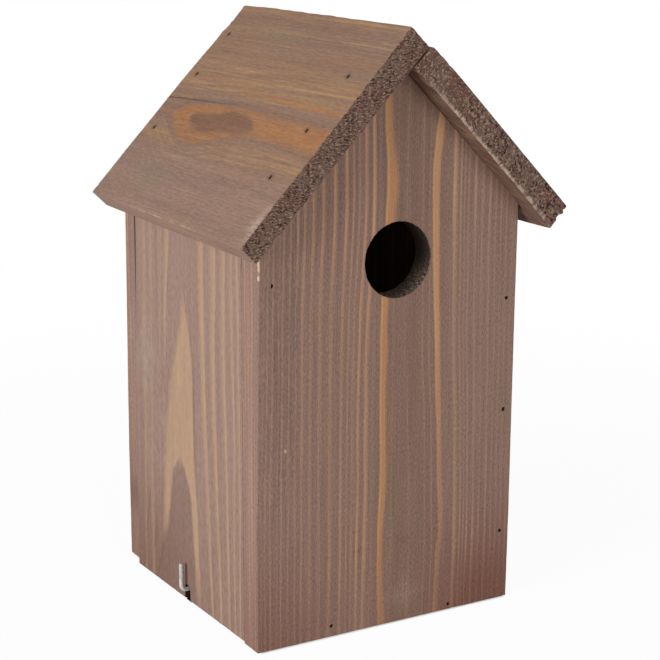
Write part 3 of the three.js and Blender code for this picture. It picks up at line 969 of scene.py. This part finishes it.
def softened(points, spans, radius):
    """Rounds the arrises of a box; the radius may differ from point to point."""
    low, high = np.array(spans).T
    reach = np.asarray(radius).reshape(-1, 1)
    core = np.clip(points, low + reach, high - reach)
    offset = points - core
    length = np.linalg.norm(offset, axis=1, keepdims=True)
    return core + offset * np.where(length > 0, reach / np.maximum(length, 1e-9), 0)


def mesh_object(name, points, faces, materials, indices=None):
    mesh = bpy.data.meshes.new(name)
    mesh.from_pydata((np.asarray(points) * millimetre).tolist(), [], faces)
    for material in materials:
        mesh.materials.append(material)
    if indices is not None:
        mesh.polygons.foreach_set("material_index", indices)
    made = bpy.data.objects.new(name, mesh)
    bpy.context.scene.collection.objects.link(made)
    return made


def finished(made, sharp=40.0):
    """Smooth shading except over sharp bends."""
    made.data.polygons.foreach_set("use_smooth", [True] * len(made.data.polygons))
    made.data.set_sharp_from_angle(angle=math.radians(sharp))
    return made


def skin(rings, sides):
    """The faces of a closed bar whose points lie in rings, with a cap at each end."""
    faces = []
    for low in range(0, (rings - 1) * sides, sides):
        for side in range(sides):
            after = (side + 1) % sides
            faces.append([low + side, low + after, low + sides + after, low + sides + side])
    last = range((rings - 1) * sides, rings * sides)
    return [*faces, list(range(sides))[::-1], list(last)]


def rod(start, end, radii, sides, rings, ragged, seed=0.0):
    """A closed bar with a slightly ragged skin; radii are along two directions square to it."""
    start, end = np.array(start, float), np.array(end, float)
    axis = (end - start) / np.linalg.norm(end - start)
    first = np.cross(axis, (0, 0, 1) if abs(axis[2]) < 0.9 else (0, 1, 0))
    first /= np.linalg.norm(first)
    second = np.cross(axis, first)
    points = []
    for ring in range(rings + 1):
        middle = start + (end - start) * ring / rings
        for side in range(sides):
            turn = 2 * math.pi * side / sides
            offset = first * math.cos(turn) * radii[0] + second * math.sin(turn) * radii[1]
            wander = 1 + ragged * noise.noise(Vector((middle + offset) * 1.3) + Vector((seed, 0, 0)))
            points.append(middle + offset * wander)
    return points, skin(rings + 1, sides)


def joined(bars):
    """Several closed bars as one list of points and faces."""
    points, faces = [], []
    for more, their_faces in bars:
        faces += [[corner + len(points) for corner in face] for face in their_faces]
        points += list(more)
    return points, faces


def carve(made, bars, material):
    """Takes the bars out of a board; the new faces get the material."""
    points, faces = joined(bars)
    cutter = mesh_object(made.name + "_cutter", points, faces, [material])
    made.data.materials.append(material)
    cut = made.modifiers.new("holes", "BOOLEAN")
    cut.operation = "DIFFERENCE"
    cut.solver = "EXACT"
    cut.material_mode = "TRANSFER"
    cut.object = cutter
    graph = bpy.context.evaluated_depsgraph_get()
    carved = bpy.data.meshes.new_from_object(made.evaluated_get(graph))
    made.modifiers.clear()
    old, made.data = made.data, carved
    bpy.data.meshes.remove(old)
    bpy.data.objects.remove(cutter)


def plank(name, spans, steps, face_wood, end_wood, fray, form=None, chips=None):
    """A sawn board: a fine shell with worn arrises that fray towards its ends, shaped by its form."""
    board = boards[name]
    lines = [cuts(low, high, step) for (low, high), step in zip(spans, steps)]
    flat, quads, facing = shell(lines)
    low, high = spans[0]
    near_end = 1 - eased(np.minimum(flat[:, 0] - low, high - flat[:, 0]), 0.3, 1.6)
    wear = arris_wear * (1 + 0.5 * hum(flat, 7.0, 3.1) + 0.35 * hum(flat, 1.6, 9.2))
    wear += near_end * fray * np.clip(0.8 + 1.3 * hum(flat, 1.5, 4.4), 0, None)
    if chips:
        wear += chips(flat)
    points = softened(flat, spans, np.clip(wear, least_wear, None))
    if form:
        points = form(flat, points)
    if board.mirrored():
        quads = [quad[::-1] for quad in quads]
    indices = [1 if axis == 0 else 0 for axis in facing]
    return mesh_object(name + "_board", board.placed(points), quads, [face_wood, end_wood], indices)


def value_at(places, course):
    """The value at each place on straight lines through pairs of place and value."""
    return np.interp(places, *zip(*course))


def rough_foot(flat, reach, *waves):
    """How far the foot of a board is torn upwards at each point; a wave is a height, a size and a seed."""
    torn = reach + sum(height * hum(flat, size, seed) for height, size, seed in waves)
    return (1 - eased(flat[:, 0], 0.0, 0.8)) * np.clip(torn, 0, None)


def up_to_gable(flat, points, bottom):
    """Draws the top of a board up to the gable's two slopes."""
    share = points[:, 0] / gable_height
    top = gable_height - np.abs(points[:, 1] - gable_shift) * math.tan(roof_pitch)
    points[:, 0] = bottom + (top - bottom) * share
    points[:, 0] += rough_foot(flat, 0.0, (0.14, 1.1, 2.0), (0.08, 9.0, 4.0))
    return points


def front_form(flat, points):
    """The front board runs a little past the wall on the right, and its left edge has bowed forwards."""
    points = up_to_gable(flat, points, 0.0)
    points[:, 1] += value_at(points[:, 0], front_excess) * eased(points[:, 1], 0.0, half_width)
    bow = value_at(points[:, 0], front_bow) * (1 - eased(flat[:, 1], -half_width, bow_breadth - half_width))
    points[:, 2] -= bow * (1 - flat[:, 2] / board_thickness)
    return points


def back_form(flat, points):
    """The outer face of the back board narrows a little towards its left shoulder."""
    narrower = back_taper * eased(flat[:, 0], 60.0, gable_height) * (1 - eased(flat[:, 1], -half_width, 0.0))
    points[:, 1] += narrower * (1 - flat[:, 2] / board_thickness)
    return up_to_gable(flat, points, back_lift)


def front_chips(flat):
    """Chips out of the front board's left arris, under the roof."""
    height = flat[:, 0] / gable_height * left_shoulder
    near = 1 - eased(np.abs(height - chip_height), 2.5, 5.5)
    return near * (flat[:, 1] < 0) * np.clip(0.25 + 0.9 * hum(flat * (1.0, 0.0, 1.0), 1.4, 5.5), 0, None)


def door_form(flat, points):
    """The door's foot is sawn out of square, and its lower back corner is warped outwards."""
    reach = panel_inside - seat_gap
    frontness = (flat[:, 1] + reach) / (2 * reach)
    lift = door_back_lift + (door_front_lift - door_back_lift) * frontness
    points[:, 0] += lift * (1 - flat[:, 0] / (left_shoulder - top_gap))
    points[:, 0] += rough_foot(flat, 0.05, (0.14, 1.2, 2.0))
    below_pivot = np.clip(1 - flat[:, 0] / pivot_height, 0, None)
    points[:, 2] -= door_warp * below_pivot * np.clip(1 - frontness, 0, 1)
    points[:, 1] += value_at(flat[:, 0], door_back_play) * (1 - frontness)
    return points


def rough_end(flat, points, end, inward, depth, seed):
    """Tears the end of a board inwards, up to about twice the depth."""
    at_end = 1 - eased(np.abs(flat[:, 0] - end), 0.05, 0.7)
    pits = 0.9 * hum(flat, 1.3, seed) + 0.8 * hum(flat, 0.7, seed + 5.0) + 0.5 * hum(flat, 5.0, seed + 9.0)
    points[:, 0] += inward * at_end * np.clip(depth * (1 + pits), 0, None)


def roof_left_form(flat, points):
    """Thicker at the ridge than at the eave, with a splintered back edge and an uneven ridge edge."""
    rough_end(flat, points, roof_front, -1, end_tear, 1.0)
    rough_end(flat, points, roof_back, 1, end_tear, 2.0)
    thicker = value_at(flat[:, 1], [(-left_slope, eave_loss), (-40.0, 0.0), (ridge_lap, -ridge_gain)])
    thicker = np.where(thicker < 0, thicker * value_at(flat[:, 0], ridge_share), thicker)
    points[:, 2] += thicker * (1 - flat[:, 2] / roof_thickness)
    at_back = 1 - eased(flat[:, 0], roof_back, roof_back + 6.0)
    points[:, 0] += at_back * value_at(flat[:, 1], back_loss)
    torn = eased(flat[:, 1], -7.0, -3.0) * (1 - eased(flat[:, 0], roof_back, roof_back + 3.0))
    points[:, 0] += torn * np.clip(1.7 + 1.5 * hum(flat * (0.0, 1.0, 0.3), 2.4, 6.0), 0.2, None)
    ridge = eased(flat[:, 1], ridge_lap - 1.0, ridge_lap)
    uneven = 0.18 + 0.3 * hum(flat * (0.3, 1.0, 1.0), 2.5, 8.0)
    points[:, 1] -= ridge * np.clip(uneven, 0, None)
    return points


def roof_right_form(flat, points):
    """Its underside hangs a little past the walls; its eave is broken in steps and its ridge is worn."""
    rough_end(flat, points, roof_front, -1, end_tear, 3.0)
    rough_end(flat, points, roof_back, 1, end_tear, 4.0)
    eave = eased(flat[:, 1], right_slope - 3.0, right_slope)
    loss = value_at(flat[:, 2], eave_steps) * (0.35 + 0.65 * eased(flat[:, 0], roof_front - 25, roof_front))
    points[:, 1] -= eave * np.clip(loss + 0.25 * hum(flat * (0.2, 0.3, 1.0), 1.4, 7.0), 0, None)
    outside = eased(flat[:, 0], half_depth + 1.5, roof_front - 2.0)
    outside = np.maximum(outside, eased(flat[:, 1], wall_clear, wall_clear + 3.0))
    hang = value_at(flat[:, 1], right_hang)
    points[:, 2] += hang * outside * eased(flat[:, 2], 0.0, roof_thickness)
    worn_top = right_gain - value_at(flat[:, 1], ridge_dip)
    points[:, 2] -= worn_top * (1 - eased(flat[:, 2], 0.0, roof_thickness))
    return points


# Nails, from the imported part


def node_points(node):
    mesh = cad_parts[node].data
    places = np.zeros(len(mesh.vertices) * 3)
    mesh.vertices.foreach_get("co", places)
    return places.reshape(-1, 3) / millimetre


def head_place(node, board):
    """Where a nail's head lies on a board: along, across, and how deep it is sunk."""
    local = board.local(node_points(node))
    sunk = local[:, 2].min()
    head = local[local[:, 2] < sunk + 0.05]
    middle = (head.min(axis=0) + head.max(axis=0)) / 2
    return middle[0], middle[1], sunk


def nail_hole(node, board_name, radii, seed):
    board = boards[board_name]
    along, across, sunk = head_place(node, board)
    mouth, bottom = board.placed([(along, across, -mouth_room), (along, across, sunk + head_room)])
    return rod(mouth, bottom, radii, *nail_skin, seed)


def bore(node, reach_low, reach_high, axis, radius):
    """A plain round hole for a shank that runs along an axis of the box, round the middle of its node."""
    low, high = (np.array(corner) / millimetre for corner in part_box(node))
    start, end = (low + high) / 2, (low + high) / 2
    start[axis], end[axis] = reach_low, reach_high
    return rod(start, end, (radius, radius), *pivot_skin)


def panel_holes(side):
    counts = {"wall": 3, "floor": 2}
    names = [f"{kind}_nail_{side}_{number + 1}" for kind, count in counts.items() for number in range(count)]
    holes = [nail_hole(name, f"{side}_panel", nail_radii, seed) for seed, name in enumerate(names)]
    return [*holes, nail_hole(f"pivot_nail_{side}", f"{side}_panel", pivot_radii, 40.0)]


def brad_names(label):
    return [f"roof_brad_{label}_{side}_{number}" for side in ("front", "back") for number in (1, 2, 3)]


def brad_holes(label):
    names = brad_names(label)
    return [nail_hole(name, f"roof_{label}", brad_radii, 50.0 + seed) for seed, name in enumerate(names)]


# The boards: their spans along, across and through, and the steps between their points

wide = (-half_width, half_width)
deep = (seat_gap - panel_inside, panel_inside - seat_gap)
long = (seat_gap - wall_inside, wall_inside - seat_gap)
thick = (0.0, board_thickness)
roof_long = (roof_back, roof_front)
roof_thick = (0.0, roof_thickness)
panel_steps = (5.0, 1.0, 1.0)
door_steps = (4.0, 1.0, 1.0)
wall_steps = (5.0, 1.5, 1.0)
floor_steps = (3.0, 1.5, 1.0)
roof_steps = (6.0, 0.45, 0.45)
board_fray = 0.1
roof_left_fray = 0.3
roof_right_fray = 0.4


def panel(side, surface, ends, form, chips=None):
    """A gable panel, without its holes."""
    spans = [(0.0, gable_height), wide, thick]
    return plank(f"{side}_panel", spans, panel_steps, surface, ends, board_fray, form, chips)


def panel_bore(shift, height, inward, radius, *skin_values):
    """The round hole through a panel; inward is the sign of the way from its outer to its inner face."""
    middle = np.array((shift, -inward * half_depth, height))
    start, end = (middle + (0, inward * reach, 0) for reach in (-cut_past, board_thickness + cut_past))
    return rod(start, end, (radius, radius), *skin_values)


def front_panel(ends, fuzz_and_shade, dark):
    made = panel("front", front_wood(), ends, front_form, front_chips)
    carve(made, [panel_bore(entrance_shift, entrance_height, 1, entrance_radius, *entrance_skin)], fuzz_and_shade)
    carve(made, panel_holes("front"), dark)
    return made


def back_panel(ends, fuzz_and_shade, dark):
    surface = plain_wood("back_wood", "back_panel", *plain_tones, 17.0, edges=True)
    made = panel("back", surface, ends, back_form)
    carve(made, [panel_bore(gable_shift, hanging_height, -1, hanging_radius, *hanging_skin)], fuzz_and_shade)
    carve(made, panel_holes("back"), dark)
    return made


def right_wall(ends):
    surface = plain_wood("wall_wood", "right_wall", *plain_tones, 23.0)
    spans = [(0.0, right_shoulder - top_gap), deep, thick]
    return plank("right_wall", spans, wall_steps, surface, ends, board_fray)


def floor_board(ends, dark):
    surface = plain_wood("floor_wood", "floor_board", front_tones["middle"], front_tones["line"], 29.0, 0.4)
    made = plank("floor_board", [long, deep, thick], floor_steps, surface, ends, board_fray)
    start = (-wall_inside - cut_past, hook_shift, hook_height)
    end = (-wall_inside + hook_reach + hook_room, hook_shift, hook_height)
    radius = wire_radius + thread_depth + hook_room
    carve(made, [rod(start, end, (radius, radius), *hook_skin)], dark)
    return made


def cleaning_door(ends, dark):
    spans = [(0.0, left_shoulder - top_gap), deep, thick]
    made = plank("cleaning_door", spans, door_steps, door_wood(), ends, board_fray, door_form)
    carve(made, [notch()], dark)
    pivots = [
        bore("pivot_nail_front", -half_depth, -panel_inside + pivot_bore, 1, pivot_room),
        bore("pivot_nail_back", panel_inside - pivot_bore, half_depth, 1, pivot_room),
    ]
    carve(made, pivots, dark)
    return made


def roof_left(ends, dark):
    spans = [roof_long, (-left_slope, ridge_lap), roof_thick]
    made = plank("roof_left", spans, roof_steps, roof_left_wood(), ends, roof_left_fray, roof_left_form)
    carve(made, brad_holes("left"), dark)
    return made


def roof_right(ends, dark):
    spans = [roof_long, (seat_gap, right_slope), roof_thick]
    tones = roof_tones["upper"], roof_tones["line"]
    surface = plain_wood("right_roof_wood", "roof_right", *tones, 11.0, 0.3, underside_tone_and_shade)
    made = plank("roof_right", spans, roof_steps, surface, ends, roof_right_fray, roof_right_form)
    carve(made, brad_holes("right"), dark)
    return made


def build_boards():
    ends = {name: end_grain(name, seed, name == "roof_right") for seed, name in enumerate(boards)}
    fuzz_and_shade = bore_wood()
    dark = hidden_wood()
    made = [
        (front_panel(ends["front_panel"], fuzz_and_shade, dark), "front_panel", "front_wood", "box"),
        (back_panel(ends["back_panel"], fuzz_and_shade, dark), "back_panel", "back_wood", "box"),
        (right_wall(ends["right_wall"]), "right_wall", "wall_wood", "box"),
        (floor_board(ends["floor_board"], dark), "floor_board", "floor_wood", "box"),
        (cleaning_door(ends["cleaning_door"], dark), "cleaning_door", "door_wood", "door"),
        (roof_left(ends["roof_left"], dark), "roof_left", "roof_wood", "box"),
        (roof_right(ends["roof_right"], dark), "roof_right", "roof_wood", "box"),
    ]
    for piece, node, wood_slot, body in made:
        finished(piece)
        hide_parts(node)
        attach(piece, body)


def notch():
    """The notch in the door's foot, with upright sides and a round top."""
    turns = np.linspace(0, math.pi, notch_points)
    arc = [(notch_radius * math.cos(turn), notch_middle + notch_radius * math.sin(turn)) for turn in turns]
    outline = [(notch_radius, -cut_past), *arc, (-notch_radius, -cut_past)]
    low, high = -half_width - cut_past, -wall_inside + cut_past
    points = [(x, notch_shift + y, z) for x in (low, high) for y, z in outline]
    return points, skin(2, len(outline))


def hook_path():
    """Points on the middle of the wire, from its inner end to the tip of its leg, with the turn at each."""
    centre = hook_bend - hook_stand_off
    path = [(along, 0.0, 0.0) for along in np.arange(shank_end, centre, -wire_step)]
    for turn in np.linspace(0, math.pi / 2, bend_points):
        path.append((centre - hook_bend * math.sin(turn), hook_bend - hook_bend * math.cos(turn), turn))
    straight = np.arange(hook_bend + leg_step, hook_leg - tip_length, leg_step)
    heights = [*straight, hook_leg - tip_length, hook_leg]
    return path + [(-hook_stand_off, height, math.pi / 2) for height in heights]


def hook_radius(x, z, turned):
    """The wire is round; its inner end has a thread and runs out to a point, and its tip is rounded off."""
    if z == hook_leg:
        return wire_radius * tip_share
    depth = shank_end - x
    if z > 0 or depth >= thread_length:
        return wire_radius
    phase = (depth / thread_pitch + turned) % 1
    threaded = wire_radius + thread_depth * (1 - abs(2 * phase - 1)) ** 2
    return threaded * min(1.0, point_share + depth / point_length)


def screw_hook():
    """The bent screw hook in the edge of the floor board."""
    path = hook_path()
    points = []
    for x, z, turn in path:
        normal = np.array([math.sin(turn), 0, math.cos(turn)])
        for side in range(wire_sides):
            angle = 2 * math.pi * side / wire_sides
            offset = normal * math.cos(angle) + np.array([0, 1, 0]) * math.sin(angle)
            points.append(np.array([x, 0, z]) + offset * hook_radius(x, z, side / wire_sides))
    faces = [[first, *others[::-1]] for first, *others in skin(len(path), wire_sides)]
    places = np.array(points) + (-half_width, hook_shift, hook_height)
    made = finished(mesh_object("screw_hook", places, faces, [hook_zinc()]), 60.0)
    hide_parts("latch_hook")
    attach(made, "latch")


def dress_nails():
    steel = nail_steel()
    for name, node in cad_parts.items():
        if "nail" in name or "brad" in name:
            node.data.materials.clear()
            node.data.materials.append(steel)


# Floor, light and camera

# The floor reads as white up to this far under the side boards

under_door = 2.4
floor_half = 3000.0
floor_grey = (0.88, 0.88, 0.88, 1.0)
pure_white = (1.0, 1.0, 1.0, 1.0)
sky_power = 0.25
camera_place = Vector((-376.76, -661.32, 310.16))
camera_aim = Vector((8.3, 0.0, 114.75))
camera_roll = 0.00403
sensor_width = 36.0
lens_length = 96.72
nearest = 10.0
lamp_aim = Vector((0, 0, 120))
lamps = {
    "key_light": ((-1400, -330, 330), 900, 17.0),
    "fill_light": ((250, -1450, 330), 1000, 5.8),
    "top_light": ((0, 200, 1500), 900, 1.0),
}


def floor_finish():
    """Pale floor that reads as white but keeps the box's shadow; dark under the box, with painted shade in
    its notch.
    """
    finish = Finish("pale_floor")
    grain = finish.noise(finish.place, 6.0, 2.0)
    x, y = (finish.node("ShaderNodeSeparateXYZ", {}, {0: finish.place}, axis) for axis in ("X", "Y"))
    inwards = x + half_width
    # Painted shade: the ground seen through the door's notch is drawn dark in the end grain's pore tone.
    notch_painted_shade = (y - inwards * 1.7).between(notch_shift - 2.2, notch_shift + 2.9, 0.3)
    notch_painted_shade = notch_painted_shade * inwards.between(-0.4, 6.0, 0.3)
    ground = finish.mix(notch_painted_shade, floor_grey, end_tones["pore"])
    plain = finish.node("ShaderNodeBsdfDiffuse", {}, {0: ground, "Roughness": 0.9})
    white = finish.node("ShaderNodeEmission", {}, {0: pure_white, 1: 1.0})
    outside = (abs(x) - half_width + under_door).most(abs(y) - half_depth)
    reach = finish.node("ShaderNodeVectorMath", {"operation": "LENGTH"}, {0: finish.place}, "Value")
    white_share = outside.rise(0.0, 1.6) * (0.95 + reach.rise(150.0, 650.0) * 0.05) + (grain - 0.5) * 0.01
    white_share = finish.rays("Camera", "Glossy", "Transmission") * (white_share * (1 - notch_painted_shade))
    return finish.closed(finish.node("ShaderNodeMixShader", {}, {0: white_share, 1: plain, 2: white}))


def lay_floor():
    sides = (-floor_half, floor_half)
    corners = [(sides[right], sides[back], 0) for right, back in ((0, 0), (1, 0), (1, 1), (0, 1))]
    floor = mesh_object("studio_floor", corners, [[0, 1, 2, 3]], [floor_finish()])


def light_world():
    """White to the camera and in gloss, a soft light to all else."""
    world = bpy.data.worlds.new("studio")
    bpy.context.scene.world = world
    world.use_nodes = True
    sky = Nodes(world.node_tree)
    soft = sky.node("ShaderNodeBackground", {}, {0: pure_white, 1: sky_power})
    white = sky.node("ShaderNodeBackground", {}, {0: pure_white, 1: 1.0})
    both = sky.node("ShaderNodeMixShader", {}, {0: sky.rays("Camera", "Glossy"), 1: soft, 2: white})
    sky.node("ShaderNodeOutputWorld", {}, {0: both})


def area_lamp(name, place, size, power):
    lamp = bpy.data.lights.new(name, "AREA")
    lamp.shape = "DISK"
    lamp.size = size * millimetre
    lamp.energy = power
    made = bpy.data.objects.new(name, lamp)
    bpy.context.scene.collection.objects.link(made)
    made.location = Vector(place) * millimetre
    made.rotation_euler = (lamp_aim - Vector(place)).to_track_quat("-Z", "Y").to_euler()


def place_camera():
    lens = bpy.data.cameras.new("camera")
    lens.sensor_width = sensor_width
    lens.lens = lens_length
    lens.clip_start = nearest * millimetre
    camera = bpy.data.objects.new("camera", lens)
    bpy.context.scene.collection.objects.link(camera)
    camera.location = camera_place * millimetre
    camera.rotation_mode = "QUATERNION"
    roll = Quaternion((0, 0, 1), camera_roll)
    camera.rotation_quaternion = (camera_aim - camera_place).to_track_quat("-Z", "Y") @ roll
    bpy.context.scene.camera = camera


place_camera()
build_boards()
screw_hook()
dress_nails()
lay_floor()
light_world()
for lamp_name, lamp_values in lamps.items():
    area_lamp(lamp_name, *lamp_values)
bpy.context.scene.view_settings.view_transform = "Standard"
